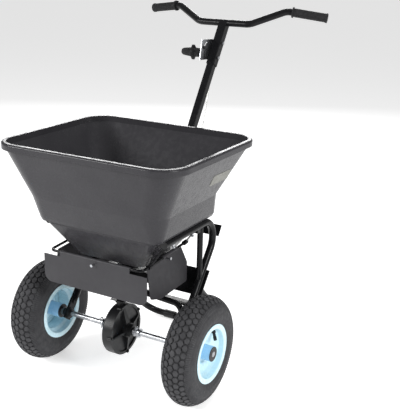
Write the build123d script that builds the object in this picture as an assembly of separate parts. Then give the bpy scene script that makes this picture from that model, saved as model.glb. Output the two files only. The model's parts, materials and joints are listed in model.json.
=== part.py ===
"""Walk-behind broadcast spreader: wheeled frame, hopper, gearbox-driven impeller, deflectors and flow control.

Millimetres. X runs along the axle, -Y is the front and Z is up, with the ground at z = 0.
While modelling, y is measured from the axle. write_parts() then moves everything by AXLE_Y, which centres
the bounding box on the origin.
"""

import os
from math import cos, radians, sin, tan

from build123d import *

# Overall layout
AXLE_Y = -263.2
AXLE_Z = 165.0
TRACK_HALF = 275.0
FRAME_HALF = 202.0
GAP = 0.05

# Wheels (13 x 5.00-6 pneumatic tyre on a pressed steel rim)
TYRE_R = 165.0
BEAD_R = 76.0
RIM_FLANGE_R = 89.0
RIM_HALF = 46.5
SHEET = 2.5
HUB_R = 22.8
HUB_BORE_R = 19.0
BUSH_FLANGE = 2.0
VALVE_AT = (20.0, 72.0)
VALVE_LENGTH = 36.0
VALVE_CLOCK = -42.0

# Axle
AXLE_R = 8.5
AXLE_LEFT = -334.0
AXLE_RIGHT = 325.0
DRIVE_PIN_X = 234.0
DRIVE_PIN_R = 3.0
CLIP_X = (-69.0, 62.0)
CLIP_R = 1.5

# Gearbox
DRUM_R = 80.0
DRUM_LEFT = -18.0
DRUM_SPLIT = 6.0
DRUM_RIGHT = 19.5
DRUM_WALL = 2.5
COVER_RECESS = 4.0
BOSS_R = 23.0
BOSS_END = 46.0
COVER_RIBS = ((98.0, 5.0), (185.0, 2.0), (275.0, 3.0), (15.0, 2.0))
COVER_SCREWS = (30.0, 108.0, 180.0, 275.0)
GEAR_TEETH = 48
PINION_TEETH = 8
GEAR_MEAN_R = 58.0
TOOTH = 1.5
SHAFT_R = 5.0
NECK_R = 13.0
NECK_TOP = 285.0

# Impeller and agitator
IMPELLER_R = 100.0
IMPELLER_Z = 345.0
VANES = 4
SHAFT_TOP = 450.0
AGITATOR_Z = 436.0

# Frame tubes
TUBE_R = 11.5
TUBE_WALL = 1.6
TOP_RUN_Z = 503.0
TOP_RUN_FRONT = -80.0
LEG_ANGLE = 51.5
HAIRPIN_BEND = 60.0
STRUT_R = 9.0
STRUT_Y = 125.0
ARCH_R = 9.0
ARCH_Y = 47.0
PLATE = 2.5
STAND_HALF = 172.0
STAND_FOOT_Y = 430.0
STAND_R = 11.5
STAND_CORNER = 58.0
PAD = 2.5

# Handle
HANDLEBAR = (
    (-334.0, 718.0, 1078.5),
    (-206.0, 683.5, 1095.0),
    (-96.0, 628.0, 1049.0),
    (96.0, 628.0, 1049.0),
    (206.0, 683.5, 1095.0),
    (334.0, 718.0, 1078.5),
)
HANDLEBAR_BENDS = (48.0, 52.0, 52.0, 48.0)
SLEEVE_BOLTS_Z = (984.0, 938.0)
POST_BOLTS = ((330.0, 40.0), (447.0, 34.0))
POST_ANGLE = 57.24
POST_Y_AT_BAR = 630.5
BAR_Z = 1049.0
POST_SIDE = 25.0
SLEEVE_SIDE = 30.0
SLEEVE_WALL = 2.0
SLEEVE_LENGTH = 160.0
BAR_R = 11.5
GRIP_R = 14.5

# Hopper: (z, half width, front y, back y, corner radius) of each outer section
WALL = 3.0
RIM_TOP = (752.0, 305.0, -208.0, 310.0, 84.0)
RIM_DROP = 19.0
LIP = 11.0
BREAK = (592.0, 230.0, -154.0, 211.0, 58.0)
BELT = (514.5, 212.0, -127.0, 216.0, 32.0)
FUNNEL_TOP = (506.0, 186.0, -114.0, 188.0, 22.0)
FUNNEL_BOTTOM = (410.0, 122.0, -64.0, 112.0, 30.0)
PORT_X = 42.0
PORT_Y = 45.0
PORT_WIDTH = 30.0
PORT_LENGTH = 36.0
GATE_TRAVEL = 41.0
GATE_THICK = 2.0

# Deflectors
ROD_R = 4.0
ROD_HALF = 160.0
ROD_FRONT_Y = -128.0
ROD_FRONT_Z = 431.0
ROD_BACK_Y = 123.0
ROD_BACK_Z = 445.0
ROD_BEND = 16.0
CURL_R = 5.6
FLAP_SHEET = 1.5
FRONT_FLAP_HALF = 180.0
FRONT_CURL_HALF = 122.0
FRONT_FLAP_DROP = 99.0
SIDE_FLAP_DROP = 116.0
SIDE_FLAP_TILT = 10.0

# Flow control
LEVER_X = -25.0
LEVER_PIVOT = (585.0, 968.0)
LEVER_ARM = 42.0
GRIP_AT = (531.0, 954.0)
CRANK_PIVOT = (320.0, 463.0)
CRANK_DROP = 60.0
SWING = 40.0
ROD_X = -31.0
WIRE_R = 2.5
PULL_R = 3.0
PIN_R = 2.4
PIN_SLOT = PIN_R + 0.9
ROD_KNEE = (546.0, 690.0)
ROD_KNEE_BEND = 60.0
ROD_HOOK_BEND = 3.2

# Frame geometry that follows from the values above
LEG_DIR = Vector(0, cos(radians(LEG_ANGLE)), sin(radians(LEG_ANGLE)))
LEG_BACK = Vector(0, sin(radians(LEG_ANGLE)), -cos(radians(LEG_ANGLE)))
POST_DIR = Vector(0, cos(radians(POST_ANGLE)), sin(radians(POST_ANGLE)))
POST_BACK = Vector(0, sin(radians(POST_ANGLE)), -cos(radians(POST_ANGLE)))
AXLE = Vector(0, 0, AXLE_Z)

PARTS = {}
FASTENERS = []


# ---------------------------------------------------------------- helpers


def keep(name, *shapes):
    """Stores one named node, as one shape or as a group of separate solids."""
    solids = [solid for shape in shapes for solid in shape.solids()]
    PARTS[name] = solids[0] if len(solids) == 1 else Compound(children=solids)


def bar_x(radius, x0, x1, y=0.0, z=AXLE_Z):
    return Pos((x0 + x1) / 2, y, z) * Rot(0, 90, 0) * Cylinder(radius, abs(x1 - x0))


def bar_z(radius, z0, z1, x=0.0, y=0.0):
    return Pos(x, y, (z0 + z1) / 2) * Cylinder(radius, abs(z1 - z0))


def bar_between(start, end, radius):
    """Round bar from one point to another."""
    start, end = Vector(*start), Vector(*end)
    run = end - start
    return Plane(origin=start + run / 2, z_dir=run) * Cylinder(radius, run.length)


def block(x0, x1, y0, y1, z0, z1):
    return Pos((x0 + x1) / 2, (y0 + y1) / 2, (z0 + z1) / 2) * Box(x1 - x0, y1 - y0, z1 - z0)


def tube(points, radii, outer, inner=0.0):
    """Round tube or bar along straight runs joined by arcs."""
    path = FilletPolyline(*points, radius=radii) if radii else Polyline(*points)
    start = Plane(origin=path @ 0, z_dir=path % 0)
    body = sweep(start * Circle(outer), path=path)
    return body - sweep(start * Circle(inner), path=path) if inner else body


def on_leg(height):
    """Point on the leg's centreline, in the x = 0 plane, at a height above the ground."""
    return AXLE + LEG_DIR * ((height - AXLE_Z) / LEG_DIR.Z)


def on_post(height):
    """Point on the handle post's centreline at a height above the ground."""
    return Vector(0, POST_Y_AT_BAR, BAR_Z) + POST_DIR * ((height - BAR_Z) / POST_DIR.Z)


def slab(centre, direction, width, length, thick):
    """Flat plate: width along X, length along direction, thickness across both."""
    plane = Plane(origin=centre, x_dir=(1, 0, 0), z_dir=direction)
    return plane * Box(width, thick, length)


def bolt(centre, axis, length, radius=3.0, head=5.8, head_height=3.5):
    """Hexagon-head bolt with its nut; the shank is centred on centre."""
    plane = Plane(origin=centre, z_dir=axis)
    hexagon = extrude(RegularPolygon(head, 6), amount=head_height)
    shank = Cylinder(radius, length)
    return plane * (shank + Pos(0, 0, length / 2) * hexagon + Pos(0, 0, -length / 2 - head_height) * hexagon)


# ---------------------------------------------------------------- wheels


def tyre():
    """Hollow tyre casing with a round crown, centred on the origin along X."""
    crown = ThreePointArc((34, 152), (0, TYRE_R), (-34, 152))
    right_shoulder = ThreePointArc((46.5, 129), (42.5, 142), (34, 152))
    right_wall = ThreePointArc((43.6, 89.5), (48.5, 108), (46.5, 129))
    left_shoulder = ThreePointArc((-34, 152), (-42.5, 142), (-46.5, 129))
    left_wall = ThreePointArc((-46.5, 129), (-48.5, 108), (-43.6, 89.5))
    inside = [(-43, 89.5), (-42.5, 76.2), (-33, 76.2), (-40, 108), (-38, 130), (-28, 145), (0, 157)]
    inside += [(-a, r) for a, r in reversed(inside[:-1])]
    outline = Polyline((-43.6, 89.5), *inside, (43.6, 89.5))
    face = make_face([crown, right_shoulder, right_wall, left_shoulder, left_wall, outline])
    return revolve(face, Axis.X)


def rim():
    """Drop-centre barrel with a dished disc; the dish opens towards -X most deeply."""
    flange, seat, well = RIM_FLANGE_R, BEAD_R, BEAD_R - 10
    half = [(RIM_HALF, flange), (RIM_HALF - SHEET, flange), (43, seat), (27, seat - 1), (21, well)]
    under = [(22, well - SHEET), (28.4, seat - 3.4), (RIM_HALF - 1, seat - SHEET), (RIM_HALF, flange - 4)]
    barrel = half + [(-a, r) for a, r in reversed(half)]
    barrel += [(-a, r) for a, r in reversed(under)] + under
    disc = [(27, 73.2), (9, 34), (9, HUB_R), (9 - SHEET, HUB_R), (9 - SHEET, 35), (20, 65)]
    outer = revolve(make_face(Polyline(*barrel, close=True)), Axis.X)
    return outer + revolve(make_face(Polyline(*disc, close=True)), Axis.X)


def hub():
    return Rot(0, 90, 0) * (Cylinder(HUB_R, 2 * RIM_HALF) - Cylinder(HUB_BORE_R, 2 * RIM_HALF))


def bush(side):
    """Flanged bush in one end of the hub."""
    length = 22.0
    body = Cylinder(HUB_BORE_R, length) + Pos(0, 0, (length + BUSH_FLANGE) / 2) * Cylinder(22, BUSH_FLANGE)
    body -= Cylinder(AXLE_R + GAP, 3 * length)
    return Pos(side * (RIM_HALF - length / 2), 0, 0) * Rot(0, 90 * side, 0) * body


def valve():
    """Rubber valve stem, which leans outwards and towards the hub from beside the barrel."""
    start = Vector(VALVE_AT[0], 0, VALVE_AT[1])
    lean = Vector(0.54, 0, -0.84)
    root = bar_between(start, start + lean * 12, 6.2)
    cap = bar_between(start + lean * (VALVE_LENGTH - 10), start + lean * VALVE_LENGTH, 5.2)
    return root + bar_between(start, start + lean * VALVE_LENGTH, 4.4) + cap


def wheel(side, name):
    """One wheel's nodes. side is +1 for +X; the shallow side of the dish always faces outwards."""
    place = Pos(side * TRACK_HALF, 0, AXLE_Z) * (Rot(0, 0, 0) if side > 0 else Rot(0, 0, 180))
    bore = bar_z(DRIVE_PIN_R, AXLE_Z - 40, AXLE_Z + 40, DRIVE_PIN_X) if side > 0 else None
    clock = Rot(VALVE_CLOCK, 0, 0)
    disc = rim() - clock * valve()
    hub_tube, bushes = place * hub(), place * bush(1) + place * bush(-1)
    if bore:
        hub_tube, bushes = hub_tube - bore, bushes - bore
    keep(name + "_tyre", place * tyre())
    keep(name + "_rim", place * disc)
    keep(name + "_hub", hub_tube)
    keep(name + "_wheel_bushes", bushes)
    keep(name + "_valve_stem", place * clock * valve())


# ---------------------------------------------------------------- axle and gearbox


def axle_group():
    shaft = chamfer(bar_x(AXLE_R, AXLE_LEFT, AXLE_RIGHT).edges(), 1.0)
    shaft -= bar_z(DRIVE_PIN_R, AXLE_Z - 30, AXLE_Z + 30, DRIVE_PIN_X)
    clips = [hair_pin(x) for x in (*CLIP_X, AXLE_LEFT + 3.5)]
    for x in (*CLIP_X, AXLE_LEFT + 3.5):
        shaft -= bar_z(CLIP_R, AXLE_Z - 30, AXLE_Z + 30, x)
    keep("axle", shaft)
    pin = bar_z(DRIVE_PIN_R, AXLE_Z - 27, AXLE_Z + 27, DRIVE_PIN_X)
    keep("axle_pins", *clips, pin + bar_z(4.5, AXLE_Z + 27, AXLE_Z + 29.5, DRIVE_PIN_X))
    spans = [(-65.5, -62.5), (-225.8, -218.5), (51, 54), (66, 72), (AXLE_LEFT + 6.5, AXLE_LEFT + 9)]
    rings = [bar_x(14.0, *span) - bar_x(AXLE_R, *span) for span in spans]
    keep("axle_washers", *rings)


def hair_pin(x):
    """Wire clip with one straight leg through the axle and one wavy leg round it."""
    top, bottom, reach = AXLE_Z + 19, AXLE_Z - 17, AXLE_R + CLIP_R + 0.3
    points = [(x, 0, bottom), (x, 0, top), (x, -reach - 1, top), (x, -reach, AXLE_Z), (x, -reach + 4, bottom)]
    return tube(points, [4, 4, 12], CLIP_R)


def drum(x0, x1, radius):
    return bar_x(radius, x0, x1)


def gearbox_group():
    inner_left = DRUM_LEFT + DRUM_WALL
    shell = drum(DRUM_LEFT, DRUM_SPLIT, DRUM_R)
    shell = fillet(shell.faces().sort_by(Axis.X)[0].edges(), 7)
    shell += bar_x(BOSS_R - 3, -BOSS_END, DRUM_LEFT)
    shell -= drum(inner_left, DRUM_SPLIT, DRUM_R - DRUM_WALL)
    neck = bar_z(NECK_R, AXLE_Z + DRUM_R - 5, NECK_TOP - 20) + bar_z(NECK_R + 4, 254, 261.5)
    shell += neck - drum(-40, 40, DRUM_R - DRUM_WALL)
    shell -= bar_x(AXLE_R + 0.6, -60, 60)
    shell -= bar_z(SHAFT_R + 0.6, AXLE_Z + 50, NECK_TOP) + bar_z(SHAFT_R + 3, 250, NECK_TOP)
    cover = drum(DRUM_SPLIT, DRUM_RIGHT, DRUM_R) - drum(DRUM_RIGHT - COVER_RECESS, DRUM_RIGHT, DRUM_R - 9)
    cover -= drum(DRUM_SPLIT, DRUM_RIGHT - COVER_RECESS - DRUM_WALL, DRUM_R - DRUM_WALL)
    cover += bar_x(BOSS_R, DRUM_RIGHT - COVER_RECESS, BOSS_END - 14) + bar_x(BOSS_R - 3, BOSS_END - 14, BOSS_END)
    cover += [rib(angle, half_width) for angle, half_width in COVER_RIBS]
    cover += block(-7.5, DRUM_RIGHT - COVER_RECESS - 1, -9, 9, 191, 210)
    cover -= bar_x(AXLE_R + 0.6, -60, 60)
    cover -= bar_z(SHAFT_R + 0.6, 180, 300) + bar_z(NECK_R, 232, 262)
    plug = bar_z(9, AXLE_Z - DRUM_R - 8, AXLE_Z - DRUM_R + 3) + bar_z(6, AXLE_Z - DRUM_R - 11, AXLE_Z - DRUM_R)
    plug = Pos(-4, 0, 0) * plug
    shell -= plug
    screws = [cover_screw(angle) for angle in COVER_SCREWS]
    for lug, screw in screws:
        cover += lug - bar_x(AXLE_R + 0.6, -60, 60)
        shell -= screw
        cover -= screw
    keep("gearbox_housing", shell)
    keep("gearbox_cover", cover)
    keep("gearbox_plug", plug)
    keep("gearbox_screws", *[screw for lug, screw in screws])


def rib(angle, half_width):
    """Stiffening rib on the cover's recessed face, which narrows and falls away from the hub."""
    inner, outer, face = BOSS_R - 2, DRUM_R - 6, DRUM_RIGHT - COVER_RECESS
    outline = Polyline((face, inner), (BOSS_END - 16, inner), (DRUM_RIGHT, outer), (face, outer), close=True)
    fin = extrude(make_face(outline), amount=2 * half_width, both=True)
    plan = Polyline((inner, -2 * half_width), (outer, -half_width), (outer, half_width), (inner, 2 * half_width), close=True)
    wedge = Rot(0, 90, 0) * Rot(0, 0, 90) * extrude(make_face(plan), amount=BOSS_END)
    return Pos(0, 0, AXLE_Z) * Rot(angle, 0, 0) * (fin & wedge)


def cover_screw(angle):
    """Screw boss on the drum's edge, and its screw."""
    y, z = (DRUM_R - 1) * cos(radians(angle)), AXLE_Z + (DRUM_R - 1) * sin(radians(angle))
    lug = bar_x(5.5, DRUM_SPLIT, DRUM_RIGHT + 1.5, y, z)
    screw = bar_x(1.8, DRUM_SPLIT + 2, DRUM_RIGHT + 1.5, y, z) + bar_x(3.6, DRUM_RIGHT + 1.5, DRUM_RIGHT + 3.5, y, z)
    return lug, screw


def gears():
    face_x, tip_x = -12.0, -7.5
    plate = bar_x(GEAR_MEAN_R + 9, face_x - 2, face_x) + bar_x(14, face_x, 2)
    plate -= bar_x(AXLE_R, -40, 40)
    tooth = block(face_x - 0.5, tip_x, -TOOTH / 2, TOOTH / 2, GEAR_MEAN_R - 8, GEAR_MEAN_R + 8)
    step = 360 / GEAR_TEETH
    teeth = [Pos(0, 0, AXLE_Z) * Rot(step * (k + 0.5), 0, 0) * tooth for k in range(GEAR_TEETH)]
    keep("drive_gear", plate + teeth)
    height = AXLE_Z + GEAR_MEAN_R
    pinion = bar_z(6.8, height - 5, height + 9)
    fin = block(6, 10.9, -TOOTH / 2, TOOTH / 2, height - 5, height + 5)
    pinion += [Rot(0, 0, 360 / PINION_TEETH * k) * fin for k in range(PINION_TEETH)]
    keep("pinion", pinion - bar_z(SHAFT_R, height - 20, height + 20))


def impeller_group():
    shaft = chamfer(bar_z(SHAFT_R, 186, SHAFT_TOP).edges(), 0.8)
    pin = bar_x(2, -17, 17, 0, IMPELLER_Z + 20)
    arms = bar_between((-36, 0, AGITATOR_Z + 8), (-8, 0, AGITATOR_Z), 2.5)
    arms += bar_between((8, 0, AGITATOR_Z), (36, 0, AGITATOR_Z - 8), 2.5)
    agitator = bar_z(9.5, AGITATOR_Z - 6, AGITATOR_Z + 6) + arms - bar_z(SHAFT_R, 400, 460)
    disc = bar_z(IMPELLER_R, IMPELLER_Z, IMPELLER_Z + 3) + bar_z(16, IMPELLER_Z - 6, IMPELLER_Z + 28)
    disc = disc + [impeller_vane(360 / VANES * k) for k in range(VANES)] + lip_ring()
    keep("impeller_shaft", shaft - pin)
    keep("impeller", disc - bar_z(SHAFT_R, 300, 400) - pin)
    keep("impeller_pin", pin)
    keep("agitator", agitator)


def lip_ring():
    """Low stiffening lip round the impeller's edge, on its underside."""
    return bar_z(IMPELLER_R, IMPELLER_Z - 3, IMPELLER_Z) - bar_z(IMPELLER_R - 2.5, IMPELLER_Z - 4, IMPELLER_Z)


def impeller_vane(angle):
    """Curved throwing vane from the hub to the edge."""
    path = ThreePointArc((13, 0), (52, 9), (IMPELLER_R - 3, 0))
    ridge = trace(path, 3)
    vane = extrude(ridge, amount=18)
    return Rot(0, 0, angle) * Pos(0, 0, IMPELLER_Z + 2) * vane


def bearings():
    left, right = leg_bearing(-1), leg_bearing(1)
    keep("axle_bearings", left, right)
    neck = bar_z(NECK_R, NECK_TOP - 20, NECK_TOP) + bar_z(SHAFT_R + 3, 250, NECK_TOP)
    neck += bar_z(9, NECK_TOP, NECK_TOP + 4)
    neck -= bar_z(SHAFT_R + GAP, 240, 300)
    floor_bush = bar_z(9, FUNNEL_BOTTOM[0], FUNNEL_BOTTOM[0] + WALL)
    floor_bush += bar_z(13, FUNNEL_BOTTOM[0] + WALL, FUNNEL_BOTTOM[0] + WALL + 3)
    keep("shaft_bushes", neck, floor_bush - bar_z(SHAFT_R + GAP, 400, 430))


def leg_bearing(side):
    """Flanged bearing in the flattened end of a leg."""
    x0, x1 = side * (FRAME_HALF - 13), side * (FRAME_HALF + 14)
    body = bar_x(13, x0, x1) + bar_x(17, side * (FRAME_HALF - 9), side * (FRAME_HALF - 4))
    return body - bar_x(AXLE_R + GAP, x0 - 5 * side, x1 + 5 * side)


# ---------------------------------------------------------------- frame


def hairpin(side):
    """Side tube: hopper rail, rear bend and leg, ending in a flattened eye round the axle bearing."""
    x = side * FRAME_HALF
    corner_y = (TOP_RUN_Z - AXLE_Z) / tan(radians(LEG_ANGLE))
    foot = AXLE + LEG_DIR * 42
    points = [(x, TOP_RUN_FRONT, TOP_RUN_Z), (x, corner_y, TOP_RUN_Z), (x, foot.Y, foot.Z)]
    body = tube(points, [HAIRPIN_BEND], TUBE_R, TUBE_R - TUBE_WALL)
    eye = Plane(origin=AXLE + LEG_DIR * 12 + Vector(x, 0, 0), x_dir=(1, 0, 0), z_dir=LEG_DIR)
    flat = eye * (Box(8, 30, 66) + Pos(0, 0, 33) * Box(12, 2 * TUBE_R - 4, 14))
    body += bar_x(TUBE_R, x - 8, x + 8, foot.Y, foot.Z) & bar_between(
        tuple(foot + Vector(x, 0, 0) - LEG_DIR * 10), tuple(foot + Vector(x, 0, 0) + LEG_DIR * 10), TUBE_R
    )
    return body + flat - bar_x(13, x - 20, x + 20)


def frame_group():
    left, right = hairpin(-1), hairpin(1)
    rails = left + right
    struts = [strut(side) - rails for side in (-1, 1)]
    arch_points = [(-195, ARCH_Y, 232), (-177, ARCH_Y, 270), (0, ARCH_Y, 283), (177, ARCH_Y, 270)]
    arch_points.append((195, ARCH_Y, 232))
    arch = tube(arch_points, [26, 500, 26], ARCH_R, ARCH_R - 1.5) - solid_rails()
    shelf = block(-FRAME_HALF, FRAME_HALF, 60, 98, 262, 262 + PLATE) + block(-24, 24, -22, 62, 262, 262 + PLATE)
    shelf -= solid_rails() + bar_z(NECK_R, 255, 270)
    back = on_leg(322) + LEG_BACK * (TUBE_R + PLATE / 2)
    rear = slab(tuple(back), tuple(LEG_DIR), 2 * FRAME_HALF + 34, 84, PLATE)
    strap_centre = on_post(447) - POST_BACK * (POST_SIDE / 2 + 1.5)
    strap = slab(tuple(strap_centre), tuple(POST_DIR), 2 * FRAME_HALF + 24, 36, 3) - solid_rails()
    keep("left_frame_tube", left)
    keep("right_frame_tube", right)
    keep("frame_struts", *struts)
    keep("arch_tube", arch)
    keep("lower_cross_plate", main_piece(shelf))
    keep("rear_cross_plate", rear)
    keep("upper_cross_strap", main_piece(strap))
    keep("tube_plugs", *[tube_plug(side) for side in (-1, 1)])


def main_piece(shape):
    """Largest solid of a cut shape, without its offcuts."""
    return max(shape.solids(), key=lambda solid: solid.volume)


def solid_rails():
    """Both side tubes as full round bars, a little oversize, for cutting neighbours to fit."""
    corner_y = (TOP_RUN_Z - AXLE_Z) / tan(radians(LEG_ANGLE))
    rails = []
    for x in (-FRAME_HALF, FRAME_HALF):
        points = [(x, TOP_RUN_FRONT - 5, TOP_RUN_Z), (x, corner_y, TOP_RUN_Z), (x, 0, AXLE_Z)]
        rails.append(tube(points, [HAIRPIN_BEND], TUBE_R + GAP))
    return rails[0] + rails[1]


def strut(side):
    """Upright between the hopper rail and the leg."""
    x = side * FRAME_HALF
    foot = on_leg(AXLE_Z + STRUT_Y * tan(radians(LEG_ANGLE))).Z
    upright = bar_z(STRUT_R, foot, TOP_RUN_Z, x, STRUT_Y) - bar_z(STRUT_R - 1.5, foot, TOP_RUN_Z, x, STRUT_Y)
    return main_piece(upright - solid_rails())


def tube_plug(side):
    """Push-in end cap of a hopper rail."""
    plane = Plane(origin=(side * FRAME_HALF, TOP_RUN_FRONT, TOP_RUN_Z), z_dir=(0, 1, 0))
    return plane * (Pos(0, 0, 6) * Cylinder(TUBE_R - TUBE_WALL - GAP, 12) + Pos(0, 0, -1.5) * Cylinder(TUBE_R, 3))


def stand_group():
    """U-shaped rear stand, standing square off the rear plate on two flanges."""
    top = on_leg(322) + LEG_BACK * (TUBE_R + PLATE)
    flange = top + LEG_BACK * 1.5
    foot_z = STAND_R + PAD
    start = top + LEG_BACK * 3
    points = [
        (-STAND_HALF, start.Y, start.Z),
        (-STAND_HALF, STAND_FOOT_Y, foot_z),
        (STAND_HALF, STAND_FOOT_Y, foot_z),
        (STAND_HALF, start.Y, start.Z),
    ]
    body = tube(points, [STAND_CORNER, STAND_CORNER], STAND_R, STAND_R - TUBE_WALL)
    core = tube(points, [STAND_CORNER, STAND_CORNER], STAND_R - TUBE_WALL)
    plates = []
    for side in (-1, 1):
        centre = (side * STAND_HALF, flange.Y, flange.Z)
        plates.append(slab(centre, tuple(LEG_DIR), 30, 52, 3) - core)
    above = slab((0, top.Y, top.Z), tuple(LEG_DIR), 500, 200, 100)
    above = Pos(*tuple(LEG_BACK * -50)) * above
    body = body - above
    keep("stand", body + plates[0] + plates[1])
    pads = [bar_x(STAND_R + PAD, x - 21, x + 21, STAND_FOOT_Y, foot_z) for x in (-80, 80)]
    keep("stand_pads", *[pad - bar_x(STAND_R + GAP, -300, 300, STAND_FOOT_Y, foot_z) for pad in pads])


# ---------------------------------------------------------------- hopper


def section(z, half, front, back, radius, inset=0.0):
    """Rounded rectangle of the hopper at one height."""
    width, depth = 2 * (half - inset), back - front - 2 * inset
    return Pos(0, (front + back) / 2, z) * RectangleRounded(width, depth, max(radius - inset, 6))


def hopper_group():
    lip_bottom = RIM_TOP[0] - RIM_DROP
    throat = (lip_bottom, RIM_TOP[1] - LIP, RIM_TOP[2] + LIP, RIM_TOP[3] - LIP, RIM_TOP[4] - LIP)
    belt_top = (BELT[0] + 10, *BELT[1:])
    belt_low = (BELT[0], BELT[1] - 5, BELT[2] + 5, BELT[3] - 5, BELT[4] - 5)
    lip_edge = extrude(section(*RIM_TOP), amount=-RIM_DROP)
    lip_edge = fillet(lip_edge.edges().filter_by(GeomType.LINE, reverse=True).group_by(Axis.Z)[-1], 6)
    upper = loft([section(*BREAK), section(*throat)], ruled=True)
    middle = loft([section(*belt_top), section(*BREAK)], ruled=True)
    skirt = loft([section(*belt_low), section(*belt_top)], ruled=True)
    ledge = loft([section(*FUNNEL_TOP), section(BELT[0], *FUNNEL_TOP[1:])], ruled=True)
    funnel = loft([section(*FUNNEL_BOTTOM), section(*FUNNEL_TOP)], ruled=True)
    outside = lip_edge + upper + middle + skirt + ledge + funnel
    mouth = (RIM_TOP[0] + 1, *throat[1:])
    inner = loft([section(*BREAK, WALL), section(*throat, WALL)], ruled=True)
    inner += extrude(section(*throat, WALL), amount=RIM_DROP + 1)
    inner += loft([section(*belt_top, WALL), section(*BREAK, WALL)], ruled=True)
    inner += loft([section(belt_low[0] + WALL, *belt_low[1:], WALL), section(*belt_top, WALL)], ruled=True)
    inner += extrude(section(FUNNEL_TOP[0], *FUNNEL_TOP[1:], WALL), amount=BELT[0] + WALL - FUNNEL_TOP[0])
    floor_z = FUNNEL_BOTTOM[0] + WALL
    inner += loft([section(floor_z, *FUNNEL_BOTTOM[1:], WALL + 1), section(*FUNNEL_TOP, WALL)], ruled=True)
    under_lip = extrude(section(lip_bottom, *RIM_TOP[1:], 2.5), amount=RIM_DROP - 3)
    under_lip -= extrude(section(*throat), amount=RIM_DROP)
    body = outside - inner - under_lip - bar_z(9, 400, 430) - ports(0)
    bolts = [bolt((x, y, TOP_RUN_Z - 1), (0, 0, 1), 38, 3, 5.5, 3) for x in (-FRAME_HALF, FRAME_HALF) for y in (-30, 80)]
    for fastener in bolts:
        body -= fastener
        for name in ("left_frame_tube", "right_frame_tube"):
            PARTS[name] = main_piece(PARTS[name] - fastener)
    keep("hopper", body)
    FASTENERS.extend(bolts)


def ports(shift):
    """Outlet holes, moved in y by shift."""
    slot = extrude(Rot(0, 0, 90) * SlotOverall(PORT_LENGTH, PORT_WIDTH), amount=20)
    return [Pos(x, PORT_Y + shift, 398) * slot for x in (-PORT_X, PORT_X)]


def gate_group():
    top = FUNNEL_BOTTOM[0] - 0.4
    plate = block(-70, 70, -32, 78, top - GATE_THICK, top)
    plate -= ports(-PORT_LENGTH / 2 - GATE_TRAVEL / 2 - 3.5)
    slot = block(-SHAFT_R - 2, SHAFT_R + 2, -GATE_TRAVEL - 8, 8, 390, 420)
    plate -= slot
    tab_top = top - GATE_THICK
    clevis = block(ROD_X - 9, ROD_X + 9, 66, 84, tab_top - 8, tab_top)
    rod = pull_rod(tab_top - 4, crank_points()[2])
    keep("shutoff_gate", plate + clevis - rod)
    keep("gate_pull_rod", rod)
    rails = [rail(side, top) for side in (-1, 1)]
    keep("gate_rails", *rails)


def rail(side, top):
    """Channel that carries one edge of the gate below the hopper floor."""
    low, high = top - GATE_THICK - 2.5, FUNNEL_BOTTOM[0]
    channel = block(62, 82, -40, 108, low, high) - block(50, 70.4, -60, 120, top - GATE_THICK - 0.4, high + 1)
    return channel if side > 0 else mirror(channel, Plane.YZ)


def pull_rod(z, crank_low):
    """Flat-ended rod from the gate to the bell crank, with an upright slot for the crank's pin."""
    end_y, end_z = crank_low
    body = bar_between((ROD_X, 76, z), (ROD_X, end_y - 14, z), PULL_R)
    eye = block(ROD_X - 2, ROD_X + 2, end_y - 16, end_y + 12, end_z - 11, end_z + 8)
    slot = block(ROD_X - 9, ROD_X + 9, end_y - PIN_SLOT, end_y + PIN_SLOT, end_z - 7.2, end_z + 3.6)
    return body + eye - slot


# ---------------------------------------------------------------- deflectors


def rod_direction(side):
    return Vector(0, ROD_BACK_Y - ROD_FRONT_Y, ROD_BACK_Z - ROD_FRONT_Z).normalized()


def deflector_group():
    points = [
        (-ROD_HALF, ROD_BACK_Y, ROD_BACK_Z),
        (-ROD_HALF, ROD_FRONT_Y, ROD_FRONT_Z),
        (ROD_HALF, ROD_FRONT_Y, ROD_FRONT_Z),
        (ROD_HALF, ROD_BACK_Y, ROD_BACK_Z),
    ]
    rod = tube(points, [ROD_BEND, ROD_BEND], ROD_R)
    keep("deflector_rod", rod)
    keep("front_deflector", front_flap())
    keep("right_deflector", side_flap(1))
    keep("left_deflector", side_flap(-1))
    keep("front_deflector_clip", clip_block())
    for side, name in ((1, "right"), (-1, "left")):
        place = side_plane(side)
        keep(name + "_deflector_clip", place * clip_block(local=True))
    hangers = []
    for side, top_y, low_y in ((-1, TOP_RUN_FRONT + 24, -38), (1, TOP_RUN_FRONT + 8, -88)):
        hangers.append(hanger(side, top_y, low_y, rod))
        hangers.append(hanger(side, 100, 108, rod))
    keep("rod_hangers", *hangers)


def rounded_panel(points, radius):
    face = make_face(Polyline(*points, close=True))
    low = face.vertices().sort_by(Axis.Y)[:2]
    return fillet(low, radius)


def front_flap():
    """Front deflector: flat sheet whose top edge is curled round the rod."""
    half, notch = FRONT_FLAP_HALF, FRONT_CURL_HALF
    outline = [(-half, -FRONT_FLAP_DROP), (half, -FRONT_FLAP_DROP), (half, -12), (notch, -12), (notch, 0)]
    outline += [(-notch, 0), (-notch, -12), (-half, -12)]
    panel = extrude(rounded_panel(outline, 26), amount=FLAP_SHEET)
    panel = Pos(0, ROD_FRONT_Y - ROD_R - GAP, ROD_FRONT_Z) * Rot(90, 0, 0) * panel
    curl = bar_x(CURL_R, -notch, notch, ROD_FRONT_Y, ROD_FRONT_Z)
    bore = bar_x(ROD_R + GAP, -notch - 1, notch + 1, ROD_FRONT_Y, ROD_FRONT_Z)
    hole = Pos(0, ROD_FRONT_Y, ROD_FRONT_Z - 11) * Rot(90, 0, 0) * Cylinder(2.6, 40)
    return panel + curl - bore - hole


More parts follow.
